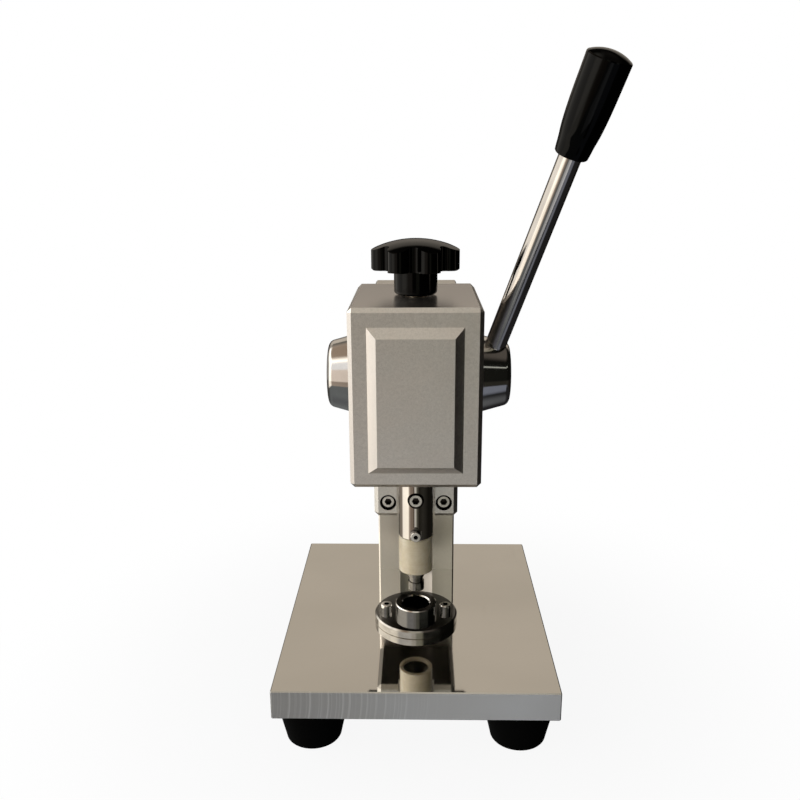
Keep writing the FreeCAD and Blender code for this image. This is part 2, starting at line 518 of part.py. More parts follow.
# --------------------------------------------------- flanged die, lower punch
ring = revolve([(DIE_BORE_R, -10.0), (BOSS_R, -10.0), (BOSS_R, BOSS_Z - 0.5), (BOSS_R - 0.5, BOSS_Z),
                (DIE_BORE_R + 0.7, BOSS_Z), (DIE_BORE_R, BOSS_Z - 0.7)])
add("die_ring", ring)
flange = revolve([(BOSS_R, -10.0), (15.0, -10.0), (15.0, 0), (FLANGE_R - 0.4, 0), (FLANGE_R, 0.4), (FLANGE_R, FLANGE_T - 0.8),
                  (FLANGE_R - 0.8, FLANGE_T), (BOSS_R, FLANGE_T)])
for sx in (-18.0, 18.0):
    flange = flange.cut(zcyl(2.2, sx, 0.8, -1, FLANGE_T + 1))
add("die_flange", flange)
add("die_screws", group([
    cap_screw(V(sx, 0.8, FLANGE_T), V(0, 0, -1), 2.0, 15.0, 3.5, 4.0, 3.0) for sx in (-18.0, 18.0)]))
add("lower_punch", revolve([(0, -10.2), (PUNCH_R, -10.2), (PUNCH_R, -2.3), (PUNCH_R - 0.3, -2.0), (0, -2.0)]))

# ------------------------------------------------- screw behind the die
add("rear_screw", cap_screw(V(0, REAR_SCREW_Y, 2.0), V(0, 0, -1), 3.0, 13.0, 5.4, 6.0, 5.0))
add("rear_screw_collar", washer(V(0, REAR_SCREW_Y, 0), Z, 3.1, 4.7, 2.0))

# -------------------------------------------------------------------- export
for name, shape in PARTS.items():
    s = shape.copy()
    s.translate(V(0, 0, 0).sub(ORIGIN))
    s.exportStep("parts/%s.step" % name)
    bb = s.BoundBox
    print("%-22s solids %2d valid %s vol %9.1f  x %7.2f %7.2f  y %7.2f %7.2f  z %7.2f %7.2f" % (
        name, len(s.Solids), s.isValid(), s.Volume, bb.XMin, bb.XMax, bb.YMin, bb.YMax, bb.ZMin, bb.ZMax))
whole = Part.makeCompound([s for s in PARTS.values()])
bb = whole.BoundBox
print("all", bb.XMin, bb.XMax, bb.YMin, bb.YMax, bb.ZMin, bb.ZMax)
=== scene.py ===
import math

import bpy
from mathutils import Matrix, Vector


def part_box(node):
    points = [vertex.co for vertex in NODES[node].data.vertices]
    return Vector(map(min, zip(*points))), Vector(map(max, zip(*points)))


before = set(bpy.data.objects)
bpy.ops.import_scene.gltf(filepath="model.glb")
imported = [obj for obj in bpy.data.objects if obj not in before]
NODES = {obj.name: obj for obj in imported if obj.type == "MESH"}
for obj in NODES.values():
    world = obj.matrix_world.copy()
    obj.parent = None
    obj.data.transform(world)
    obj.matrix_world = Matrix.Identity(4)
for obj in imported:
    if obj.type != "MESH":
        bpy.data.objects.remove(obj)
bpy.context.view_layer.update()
SCENE = bpy.context.scene


# --------------------------------------------------------------- node helpers
class Tree:
    """Small helper that builds shader nodes by calls that return sockets."""

    def __init__(self, tree):
        self.t = tree
        tree.nodes.clear()

    def node(self, kind, **props):
        n = self.t.nodes.new(kind)
        for k, v in props.items():
            setattr(n, k, v)
        return n

    def put(self, sock, value):
        if isinstance(value, bpy.types.NodeSocket):
            self.t.links.new(value, sock)
        elif value is not None:
            sock.default_value = value

    def math(self, op, a, b=None, c=None, clamp=False):
        n = self.node("ShaderNodeMath", operation=op, use_clamp=clamp)
        self.put(n.inputs[0], a)
        if b is not None:
            self.put(n.inputs[1], b)
        if c is not None:
            self.put(n.inputs[2], c)
        return n.outputs[0]

    def add(self, a, b):
        return self.math("ADD", a, b)

    def sub(self, a, b):
        return self.math("SUBTRACT", a, b)

    def mul(self, a, b):
        return self.math("MULTIPLY", a, b)

    def mixc(self, f, a, b, blend="MIX"):
        n = self.node("ShaderNodeMix", data_type="RGBA", blend_type=blend)
        self.put(n.inputs[0], f)
        self.put(n.inputs[6], a)
        self.put(n.inputs[7], b)
        return n.outputs[2]

    def mixf(self, f, a, b):
        n = self.node("ShaderNodeMix", data_type="FLOAT")
        self.put(n.inputs[0], f)
        self.put(n.inputs[2], a)
        self.put(n.inputs[3], b)
        return n.outputs[0]

    def smooth(self, v, a, b, lo=0.0, hi=1.0):
        n = self.node("ShaderNodeMapRange", interpolation_type="SMOOTHSTEP")
        self.put(n.inputs["Value"], v)
        self.put(n.inputs["From Min"], a)
        self.put(n.inputs["From Max"], b)
        self.put(n.inputs["To Min"], lo)
        self.put(n.inputs["To Max"], hi)
        return n.outputs[0]

    def remap(self, v, a, b, lo=0.0, hi=1.0):
        n = self.node("ShaderNodeMapRange", clamp=True)
        self.put(n.inputs["Value"], v)
        self.put(n.inputs["From Min"], a)
        self.put(n.inputs["From Max"], b)
        self.put(n.inputs["To Min"], lo)
        self.put(n.inputs["To Max"], hi)
        return n.outputs[0]

    def band(self, v, a, b, soft):
        """1 between a and b, 0 outside, with soft edges."""
        up = self.smooth(v, a - soft, a + soft)
        dn = self.smooth(v, b - soft, b + soft, 1.0, 0.0)
        return self.mul(up, dn)

    def xyz(self, vec):
        n = self.node("ShaderNodeSeparateXYZ")
        self.put(n.inputs[0], vec)
        return n.outputs[0], n.outputs[1], n.outputs[2]

    def vec(self, x, y, z):
        n = self.node("ShaderNodeCombineXYZ")
        self.put(n.inputs[0], x)
        self.put(n.inputs[1], y)
        self.put(n.inputs[2], z)
        return n.outputs[0]

    def vmul(self, v, s):
        n = self.node("ShaderNodeVectorMath", operation="MULTIPLY")
        self.put(n.inputs[0], v)
        self.put(n.inputs[1], s)
        return n.outputs[0]

    def vadd(self, v, s):
        n = self.node("ShaderNodeVectorMath", operation="ADD")
        self.put(n.inputs[0], v)
        self.put(n.inputs[1], s)
        return n.outputs[0]

    def obj(self):
        n = self.node("ShaderNodeTexCoord")
        return n.outputs["Object"]

    def objnormal(self):
        n = self.node("ShaderNodeTexCoord")
        return n.outputs["Normal"]

    def noise(self, vec, scale, detail=3.0, rough=0.5, dims="3D", w=None, dist=0.0, colour=False):
        n = self.node("ShaderNodeTexNoise", noise_dimensions=dims)
        if dims != "1D":
            self.put(n.inputs["Vector"], vec)
        if w is not None:
            self.put(n.inputs["W"], w)
        self.put(n.inputs["Scale"], scale)
        self.put(n.inputs["Detail"], detail)
        self.put(n.inputs["Roughness"], rough)
        self.put(n.inputs["Distortion"], dist)
        return n.outputs["Color"] if colour else n.outputs[0]

    def voronoi(self, vec, scale, feature="F1", out=0):
        n = self.node("ShaderNodeTexVoronoi", feature=feature)
        self.put(n.inputs["Vector"], vec)
        self.put(n.inputs["Scale"], scale)
        return n.outputs[out]

    def bump(self, height, strength, distance, normal=None):
        n = self.node("ShaderNodeBump")
        self.put(n.inputs["Strength"], strength)
        self.put(n.inputs["Distance"], distance)
        self.put(n.inputs["Height"], height)
        if normal is not None:
            self.put(n.inputs["Normal"], normal)
        return n.outputs[0]


def lin(r, g, b):
    """sRGB 0-255 to a linear colour."""
    f = lambda c: ((c / 255.0 + 0.055) / 1.055) ** 2.4 if c > 10 else c / 255.0 / 12.92
    return (f(r), f(g), f(b), 1.0)


def new_material(name):
    m = bpy.data.materials.new(name)
    m.use_nodes = True
    g = Tree(m.node_tree)
    out = g.node("ShaderNodeOutputMaterial")
    p = g.node("ShaderNodeBsdfPrincipled")
    g.t.links.new(p.outputs[0], out.inputs["Surface"])
    return m, g, p


def setp(g, p, **kw):
    names = {"color": "Base Color", "metal": "Metallic", "rough": "Roughness", "normal": "Normal",
             "ior": "IOR", "spec": "Specular IOR Level", "aniso": "Anisotropic", "anrot": "Anisotropic Rotation",
             "tangent": "Tangent", "coat": "Coat Weight", "coat_rough": "Coat Roughness",
             "sss": "Subsurface Weight", "sss_scale": "Subsurface Scale", "sss_radius": "Subsurface Radius",
             "trans": "Transmission Weight"}
    for k, v in kw.items():
        g.put(p.inputs[names[k]], v)


# ------------------------------------------------------------------ materials
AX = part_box("die_flange")
DIE_X, DIE_Y = (AX[0][0] + AX[1][0]) / 2, (AX[0][1] + AX[1][1]) / 2
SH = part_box("cross_shaft")
SHAFT_Y, SHAFT_Z = (SH[0][1] + SH[1][1]) / 2, (SH[0][2] + SH[1][2]) / 2
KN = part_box("adjusting_screw")
KNOB_X, KNOB_Y = (KN[0][0] + KN[1][0]) / 2, (KN[0][1] + KN[1][1]) / 2


def satin_alu(name, tint=(0.86, 0.83, 0.805), rough=0.35, seed=0.0, shaded_counterbores=()):
    """Fine bead-blasted, clear anodised aluminium: mottled grain; left-facing faces, undersides and screw
    counterbores darkened as painted shade.
    """
    m, g, p = new_material(name)
    o = g.vadd(g.obj(), (seed, seed * 0.7, seed * 1.3))
    fine = g.noise(o, 2600.0, 2.0, 0.6)
    mid = g.noise(o, 620.0, 3.0, 0.6)
    cloud = g.noise(o, 34.0, 3.0, 0.5)
    warm = g.noise(g.vadd(o, (3.1, 1.7, 0.4)), 70.0, 2.0, 0.5)
    c0 = (tint[0] * 0.88, tint[1] * 0.88, tint[2] * 0.88, 1)
    c1 = (tint[0] * 1.10, tint[1] * 1.10, tint[2] * 1.10, 1)
    col = g.mixc(g.smooth(g.add(g.mul(fine, 0.55), g.mul(mid, 0.45)), 0.32, 0.68), c0, c1)
    col = g.mixc(g.smooth(warm, 0.35, 0.7, 0.0, 0.16), col, (tint[0] * 1.04, tint[1] * 0.97, tint[2] * 0.93, 1))
    col = g.mixc(g.smooth(cloud, 0.3, 0.75, 0.0, 0.10), col, (tint[0] * 0.78, tint[1] * 0.80, tint[2] * 0.80, 1))
    topf = g.smooth(g.xyz(g.objnormal())[2], 0.90, 0.97)
    col = g.mixc(g.mul(topf, 0.85), col, (tint[0], tint[1], tint[2], 1))
    # painted shade: faces turned to the left (-X) darkened to 0.8 of the tint
    left_face_shade = g.smooth(g.xyz(g.objnormal())[0], -0.80, -0.60, 1.0, 0.0)
    col = g.mixc(left_face_shade, col, (tint[0] * 0.80, tint[1] * 0.80, tint[2] * 0.80, 1))
    # painted shade: downward faces painted near-black
    underside_shade = g.smooth(g.xyz(g.objnormal())[2], -0.97, -0.88, 1.0, 0.0)
    col = g.mixc(underside_shade, col, (0.030, 0.028, 0.024, 1))
    # painted shade: the counterbore walls around the screw heads painted near-black
    for cx, cz, cr in shaded_counterbores:
        hx, hz = g.sub(g.xyz(g.obj())[0], cx), g.sub(g.xyz(g.obj())[2], cz)
        d = g.math("SQRT", g.add(g.mul(hx, hx), g.mul(hz, hz)))
        col = g.mixc(g.smooth(d, cr, cr + 0.00012, 1.0, 0.0), col, (0.012, 0.011, 0.010, 1))
    calm = g.sub(1.0, g.mul(topf, 0.99))
    r = g.add(g.mul(g.mul(g.smooth(mid, 0.3, 0.7), calm), 0.06), g.add(rough - 0.03, g.mul(cloud, 0.03)))
    r = g.sub(r, g.mul(topf, 0.08))
    b1 = g.bump(g.mul(fine, calm), 0.20, 0.00012)
    b2 = g.bump(g.mul(mid, calm), 0.12, 0.00035, b1)
    setp(g, p, color=col, metal=1.0, rough=r, normal=b2)
    return m


def steel_common(g, o, tint, var=0.10, scale=60.0):
    cloud = g.noise(o, scale, 3.0, 0.55)
    c0 = tuple(t * (1 - var) for t in tint) + (1,)
    c1 = tuple(min(1.0, t * (1 + var * 0.6)) for t in tint) + (1,)
    return g.mixc(g.smooth(cloud, 0.3, 0.7), c0, c1), cloud


def mirror_steel(name):
    """Base plate: polished top with faint hairlines and finger smudges; fly-cut sides with arc marks."""
    m, g, p = new_material(name)
    o = g.obj()
    x, y, z = g.xyz(o)
    nx, ny, nz = g.xyz(g.objnormal())
    up = g.smooth(g.math("ABSOLUTE", nz), 0.55, 0.80)
    # polished face
    smud = g.noise(g.vadd(o, (0.31, 0.11, 0.0)), 17.0, 5.0, 0.62, dist=0.8)
    smud2 = g.noise(g.vadd(o, (1.7, 0.35, 0.0)), 46.0, 4.0, 0.6)
    spots = g.mul(g.smooth(smud, 0.58, 0.80), g.smooth(smud2, 0.40, 0.66))
    line_v = g.vmul(o, (2200.0, 26.0, 1.0))
    hair = g.noise(line_v, 1.0, 2.0, 0.5)
    haze = g.noise(g.vmul(o, (6.0, 11.0, 1.0)), 1.0, 3.0, 0.5)
    top_col = g.mixc(g.smooth(haze, 0.3, 0.7), (0.600, 0.580, 0.540, 1), (0.655, 0.632, 0.592, 1))
    top_col = g.mixc(g.mul(spots, 0.22), top_col, (0.40, 0.37, 0.335, 1))
    top_rough = g.add(g.add(0.035, g.mul(spots, 0.10)), g.mul(g.smooth(haze, 0.4, 0.8), 0.025))
    # milled sides: circular feed marks, irregular pitch, fading to one end
    run = g.mixf(g.smooth(g.math("ABSOLUTE", nx), 0.5, 0.8), x, g.mul(y, -1.0))
    zc = 0.0315
    dz = g.sub(z, zc + 0.006)
    arc = g.math("SQRT", g.sub(0.075 * 0.075, g.mul(dz, dz)))
    s = g.sub(run, arc)
    tooth = g.noise(None, 1.0, 1.0, 0.4, dims="1D", w=g.mul(s, 620.0))
    tooth_f = g.noise(None, 1.0, 2.0, 0.6, dims="1D", w=g.mul(s, 1450.0))
    patch = g.noise(g.vmul(o, (30.0, 30.0, 95.0)), 1.0, 3.0, 0.55)
    fade = g.smooth(g.add(x, g.mul(g.sub(patch, 0.5), 0.05)), -0.050, 0.020, 1.0, 0.12)
    marks = g.smooth(g.add(g.mul(tooth, 0.62), g.mul(tooth_f, 0.38)), 0.50, 0.66)
    marks = g.mul(marks, fade)
    side_col = g.mixc(marks, (0.57, 0.572, 0.575, 1), (0.80, 0.805, 0.81, 1))
    side_col = g.mixc(g.smooth(patch, 0.42, 0.75, 0.0, 0.25), side_col, (0.70, 0.705, 0.71, 1))
    # painted light: the side faces lighten towards +X
    light_ramp_x = g.smooth(x, -0.09, 0.05)
    side_col = g.mixc(g.mul(light_ramp_x, 0.90), side_col, (0.93, 0.94, 0.95, 1))
    side_rough = g.add(0.36, g.mul(patch, 0.16))
    col = g.mixc(up, side_col, top_col)
    rough = g.mixf(up, side_rough, top_rough)
    h_side = g.mul(g.sub(1.0, up), g.add(g.mul(tooth, fade), g.mul(tooth_f, 0.4)))
    b = g.bump(h_side, 0.5, 0.00012)
    b = g.bump(g.mul(up, hair), 0.02, 0.00002, b)
    setp(g, p, color=col, metal=1.0, rough=rough, normal=b)
    return m


def column_steel(name):
    """Column: satin flat bar, a fine vertical grain and a faint orange peel."""
    m, g, p = new_material(name)
    o = g.obj()
    grain = g.noise(g.vmul(o, (1900.0, 1900.0, 22.0)), 1.0, 2.0, 0.5)
    peel = g.noise(o, 420.0, 2.0, 0.5)
    cloud = g.noise(g.vmul(o, (22.0, 22.0, 14.0)), 1.0, 4.0, 0.6)
    col = g.mixc(g.smooth(cloud, 0.3, 0.7), (0.90, 0.865, 0.81, 1), (0.97, 0.935, 0.88, 1))
    col = g.mixc(g.smooth(peel, 0.35, 0.65, 0.0, 0.10), col, (0.78, 0.75, 0.70, 1))
    rough = g.add(0.27, g.add(g.mul(cloud, 0.06), g.mul(grain, 0.05)))
    b = g.bump(grain, 0.05, 0.00003)
    b = g.bump(peel, 0.03, 0.00015, b)
    setp(g, p, color=col, metal=1.0, rough=rough, normal=b)
    return m


def turned(name, tint, rough, axis, centre, groove=2400.0, amp=0.10, dirt=0.25, dark=(0.10, 0.095, 0.09), seed=0.0,
           bore=None, underside_shade=False, top=None):
    """Turned steel about an axis: fine tool rings on its faces, fine rings along its barrel, slight staining;
    optional painted shade on upward faces, inside a bore and on downward faces.
    """
    m, g, p = new_material(name)
    o = g.vadd(g.obj(), (-centre[0], -centre[1], -centre[2]))
    x, y, z = g.xyz(o)
    if axis == "Z":
        a, b_, l = x, y, z
    elif axis == "X":
        a, b_, l = y, z, x
    else:
        a, b_, l = x, z, y
    rad = g.math("SQRT", g.add(g.mul(a, a), g.mul(b_, b_)))
    s = g.add(g.mul(rad, 1.0), g.mul(l, 0.83))
    ring = g.noise(None, 1.0, 2.0, 0.6, dims="1D", w=g.add(g.mul(s, groove), 3.7 + seed))
    ring2 = g.noise(None, 1.0, 1.0, 0.5, dims="1D", w=g.add(g.mul(s, groove * 0.24), 9.1 + seed))
    cloud = g.noise(g.vadd(o, (0.4 + seed, 0.2, 0.7)), 95.0, 4.0, 0.6)
    stain = g.smooth(cloud, 0.45, 0.72, 0.0, dirt)
    c0 = tuple(t * 0.86 for t in tint) + (1,)
    c1 = tuple(min(1.0, t * 1.10) for t in tint) + (1,)
    col = g.mixc(g.add(g.mul(ring, 0.6), g.mul(ring2, 0.4)), c0, c1)
    col = g.mixc(stain, col, tuple(dark) + (1,))
    # painted shade: upward faces given the dark top colour, far darker than the sides
    if top:
        top_shade = g.smooth(g.xyz(g.objnormal())[2], 0.90, 0.97)
        col = g.mixc(top_shade, col, g.mixc(ring, tuple(t * 0.85 for t in top) + (1,), tuple(t * 1.15 for t in top) + (1,)))
    # painted shade: inside the bore radius the steel is painted near-black
    if bore:
        col = g.mixc(g.smooth(rad, bore + 0.00005, bore + 0.00015, 1.0, 0.0), col, (0.07, 0.067, 0.06, 1))
    # painted shade: downward faces painted near-black
    if underside_shade:
        col = g.mixc(g.smooth(g.xyz(g.objnormal())[2], -0.9, -0.7, 1.0, 0.0), col, (0.035, 0.034, 0.028, 1))
    r = g.add(rough, g.add(g.mul(stain, 0.25), g.mul(ring, 0.06)))
    b = g.bump(g.add(g.mul(ring, 0.6), g.mul(ring2, 0.4)), amp, 0.00004)
    setp(g, p, color=col, metal=1.0, rough=r, normal=b)
    return m


def plated(name, tint=(0.70, 0.69, 0.68), rough=0.06, seed=0.0, shaded_counterbores=(), left_end_shade=False):
    """Bright plated or polished steel: a faint ripple, fine pits and hair scratches; optional counterbores and
    left-facing end faces darkened as painted shade.
    """
    m, g, p = new_material(name)
    o = g.vadd(g.obj(), (seed, 0.5 * seed, 0.2))
    ripple = g.noise(o, 130.0, 2.0, 0.5)
    cloud = g.noise(o, 48.0, 4.0, 0.6)
    pit = g.smooth(g.voronoi(o, 520.0), 0.0, 0.16, 1.0, 0.0)
    pit = g.mul(pit, g.smooth(g.noise(g.vadd(o, (2.0, 0, 0)), 90.0, 1.0), 0.55, 0.70))
    scr = g.noise(g.vmul(o, (900.0, 2600.0, 70.0)), 1.0, 2.0, 0.5)
    c0 = tuple(t * 0.90 for t in tint) + (1,)
    c1 = tuple(min(1.0, t * 1.04) for t in tint) + (1,)
    col = g.mixc(g.smooth(cloud, 0.3, 0.7), c0, c1)
    col = g.mixc(g.mul(pit, 0.5), col, (0.16, 0.15, 0.14, 1))
    # painted shade: inside each counterbore radius, in front of the given depth, the steel is painted near-black
    for cx, cz, cr, cy in shaded_counterbores:
        q = g.xyz(g.obj())
        hx, hz = g.sub(q[0], cx), g.sub(q[2], cz)
        d = g.math("SQRT", g.add(g.mul(hx, hx), g.mul(hz, hz)))
        k = g.mul(g.smooth(d, cr, cr + 0.0001, 1.0, 0.0), g.smooth(q[1], cy, cy + 0.0002, 1.0, 0.0))
        col = g.mixc(k, col, (0.012, 0.011, 0.010, 1))
    # painted shade: left-facing end faces darkened to 0.22 of the tint
    if left_end_shade:
        end = g.smooth(g.xyz(g.objnormal())[0], -0.80, -0.45, 1.0, 0.0)
        col = g.mixc(end, col, (tint[0] * 0.22, tint[1] * 0.22, tint[2] * 0.22, 1))
    r = g.add(rough, g.add(g.mul(g.smooth(cloud, 0.4, 0.8), 0.04), g.mul(g.smooth(scr, 0.55, 0.8), 0.05)))
    b = g.bump(ripple, 0.03, 0.0002)
    b = g.bump(scr, 0.02, 0.00003, b)
    setp(g, p, color=col, metal=1.0, rough=r, normal=b)
    return m


def screw_metal(name, tint=(0.58, 0.56, 0.53), rough=0.14, axis="Y", centres=(), face=None, r_key=0.0, r_gap_shadow=1.0):
    """Socket screws: bright turned faces, a painted shadow ring on the head rim for the counterbore gap, and key
    sockets painted near-black as painted shade.
    """
    m, g, p = new_material(name)
    o = g.obj()
    fine = g.noise(o, 2100.0, 2.0, 0.6)
    cloud = g.noise(o, 260.0, 3.0, 0.6)
    c0 = tuple(t * 0.72 for t in tint) + (1,)
    c1 = tuple(min(1.0, t * 1.22) for t in tint) + (1,)
    col = g.mixc(g.smooth(g.add(g.mul(cloud, 0.7), g.mul(fine, 0.3)), 0.34, 0.66), c0, c1)
    r = g.add(rough, g.mul(cloud, 0.12))
    x, y, z = g.xyz(o)
    for cx, cy in centres:
        a = g.sub(x, cx)
        b_ = g.sub(z if axis == "Y" else y, cy)
        d = g.math("SQRT", g.add(g.mul(a, a), g.mul(b_, b_)))
        near_me = g.smooth(d, 0.008, 0.009, 1.0, 0.0)
        deep = g.smooth(g.sub(y, face) if axis == "Y" else g.sub(face, z), 0.0001, 0.0005)
        # painted shade: the key socket, behind the head face, painted near-black
        key = g.mul(g.smooth(d, r_key, r_key + 0.00015, 1.0, 0.0), deep)
        # painted shadow: a ring from the rim radius outward, standing for the counterbore gap around the head
        gap_shadow = g.mul(g.smooth(d, r_gap_shadow, r_gap_shadow + 0.00025), near_me)
        col = g.mixc(g.math("MAXIMUM", key, gap_shadow), col, (0.018, 0.016, 0.014, 1))
    b = g.bump(fine, 0.08, 0.00005)
    setp(g, p, color=col, metal=1.0, rough=r, normal=b)
    return m


def oiled_steel(name, tint=(0.30, 0.295, 0.29), rough=0.30):
    m, g, p = new_material(name)
    o = g.obj()
    cloud = g.noise(o, 120.0, 4.0, 0.6)
    cut = g.noise(g.vmul(o, (60.0, 1500.0, 1500.0)), 1.0, 2.0, 0.5)
    col = g.mixc(g.smooth(cloud, 0.3, 0.7), tuple(t * 0.7 for t in tint) + (1,), tuple(t * 1.2 for t in tint) + (1,))
    r = g.add(rough, g.mul(cloud, 0.15))
    setp(g, p, color=col, metal=1.0, rough=r, normal=g.bump(cut, 0.10, 0.00006))
    return m


def warm_metal(name, tint, rough=0.28, seed=0.0):
    m, g, p = new_material(name)
    o = g.vadd(g.obj(), (seed, seed, 0.0))
    cloud = g.noise(o, 140.0, 4.0, 0.6)
    fine = g.noise(o, 1900.0, 2.0, 0.6)
    col = g.mixc(g.smooth(cloud, 0.3, 0.7), tuple(t * 0.72 for t in tint) + (1,), tuple(min(1, t * 1.15) for t in tint) + (1,))
    r = g.add(rough, g.mul(cloud, 0.14))
    setp(g, p, color=col, metal=1.0, rough=r, normal=g.bump(fine, 0.10, 0.00006))
    return m


def black_plastic(name, seed=0.0):
    """Glossy moulded phenolic: faint orange peel, fine wipe marks and a little dust haze."""
    m, g, p = new_material(name)
    o = g.vadd(g.obj(), (seed, 0.3 * seed, 0.0))
    peel = g.noise(o, 260.0, 2.0, 0.5)
    wipe = g.noise(g.vmul(o, (160.0, 900.0, 900.0)), 1.0, 3.0, 0.6)
    cloud = g.noise(o, 55.0, 4.0, 0.6)
    speck = g.smooth(g.voronoi(o, 900.0), 0.0, 0.10, 1.0, 0.0)
    speck = g.mul(speck, g.smooth(g.noise(o, 240.0, 1.0), 0.62, 0.72))
    col = g.mixc(g.smooth(cloud, 0.3, 0.75), (0.0006, 0.0006, 0.0006, 1), (0.0016, 0.0015, 0.0014, 1))
    col = g.mixc(g.mul(speck, 0.35), col, (0.06, 0.055, 0.05, 1))
    r = g.add(0.04, g.add(g.mul(g.smooth(wipe, 0.5, 0.8), 0.06), g.mul(cloud, 0.03)))
    b = g.bump(peel, 0.035, 0.0003)
    setp(g, p, color=col, metal=0.0, rough=r, ior=1.50, spec=0.10, normal=b)
    return m


def rubber(name):
    m, g, p = new_material(name)
    o = g.obj()
    fine = g.noise(o, 1500.0, 3.0, 0.6)
    cloud = g.noise(o, 90.0, 3.0, 0.6)
    z = g.xyz(o)[2]
    scuff = g.mul(g.smooth(z, 0.0, 0.006, 1.0, 0.0), g.smooth(cloud, 0.4, 0.7))
    col = g.mixc(g.smooth(fine, 0.3, 0.7), (0.0006, 0.0006, 0.0006, 1), (0.0014, 0.0014, 0.0014, 1))
    col = g.mixc(g.mul(scuff, 0.4), col, (0.005, 0.005, 0.0045, 1))
    r = g.add(0.55, g.mul(cloud, 0.2))
    b = g.bump(fine, 0.25, 0.00012)
    setp(g, p, color=col, metal=0.0, rough=r, ior=1.5, spec=0.05, normal=b)
    return m


def nylon(name):
    """Natural nylon tube, yellowed: light passes a little way in; fine turning rings."""
    m, g, p = new_material(name)
    o = g.obj()
    z = g.xyz(o)[2]
    ring = g.noise(None, 1.0, 2.0, 0.5, dims="1D", w=g.mul(z, 900.0))
    cloud = g.noise(o, 170.0, 4.0, 0.6)
    fine = g.noise(o, 1400.0, 2.0, 0.6)
    col = g.mixc(g.smooth(cloud, 0.3, 0.7), (0.76, 0.69, 0.52, 1), (0.87, 0.81, 0.66, 1))
    col = g.mixc(g.smooth(ring, 0.4, 0.7, 0.0, 0.15), col, (0.66, 0.58, 0.40, 1))
    r = g.add(0.34, g.mul(cloud, 0.12))
    b = g.bump(g.add(ring, g.mul(fine, 0.4)), 0.08, 0.00008)
    setp(g, p, color=col, metal=0.0, rough=r, ior=1.53, normal=b, sss=0.25, coat=0.8, coat_rough=0.10)
    p.inputs["Subsurface Radius"].default_value = (0.9, 0.75, 0.40)
    p.inputs["Subsurface Scale"].default_value = 0.0018
    return m


def pair(node, r):
    """Centres of the two outer screws of a node, in X and Z, and the face that looks forward."""
    lo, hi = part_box(node)
    return [(lo[0] + r, (lo[2] + hi[2]) / 2), (hi[0] - r, (lo[2] + hi[2]) / 2)], lo[1]


GB_C, GB_F = pair("guide_block_screws", 0.00425)
HS_LO, HS_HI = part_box("holder_screw")
HS_C = ((HS_LO[0] + HS_HI[0]) / 2, (HS_LO[2] + HS_HI[2]) / 2)
PC_LO, PC_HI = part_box("punch_clamp_screw")
PC_C = ((PC_LO[0] + PC_HI[0]) / 2, (PC_LO[2] + PC_HI[2]) / 2)
DS_LO, DS_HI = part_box("die_screws")
DS_C = [(DS_LO[0] + 0.0035, (DS_LO[1] + DS_HI[1]) / 2), (DS_HI[0] - 0.0035, (DS_LO[1] + DS_HI[1]) / 2)]


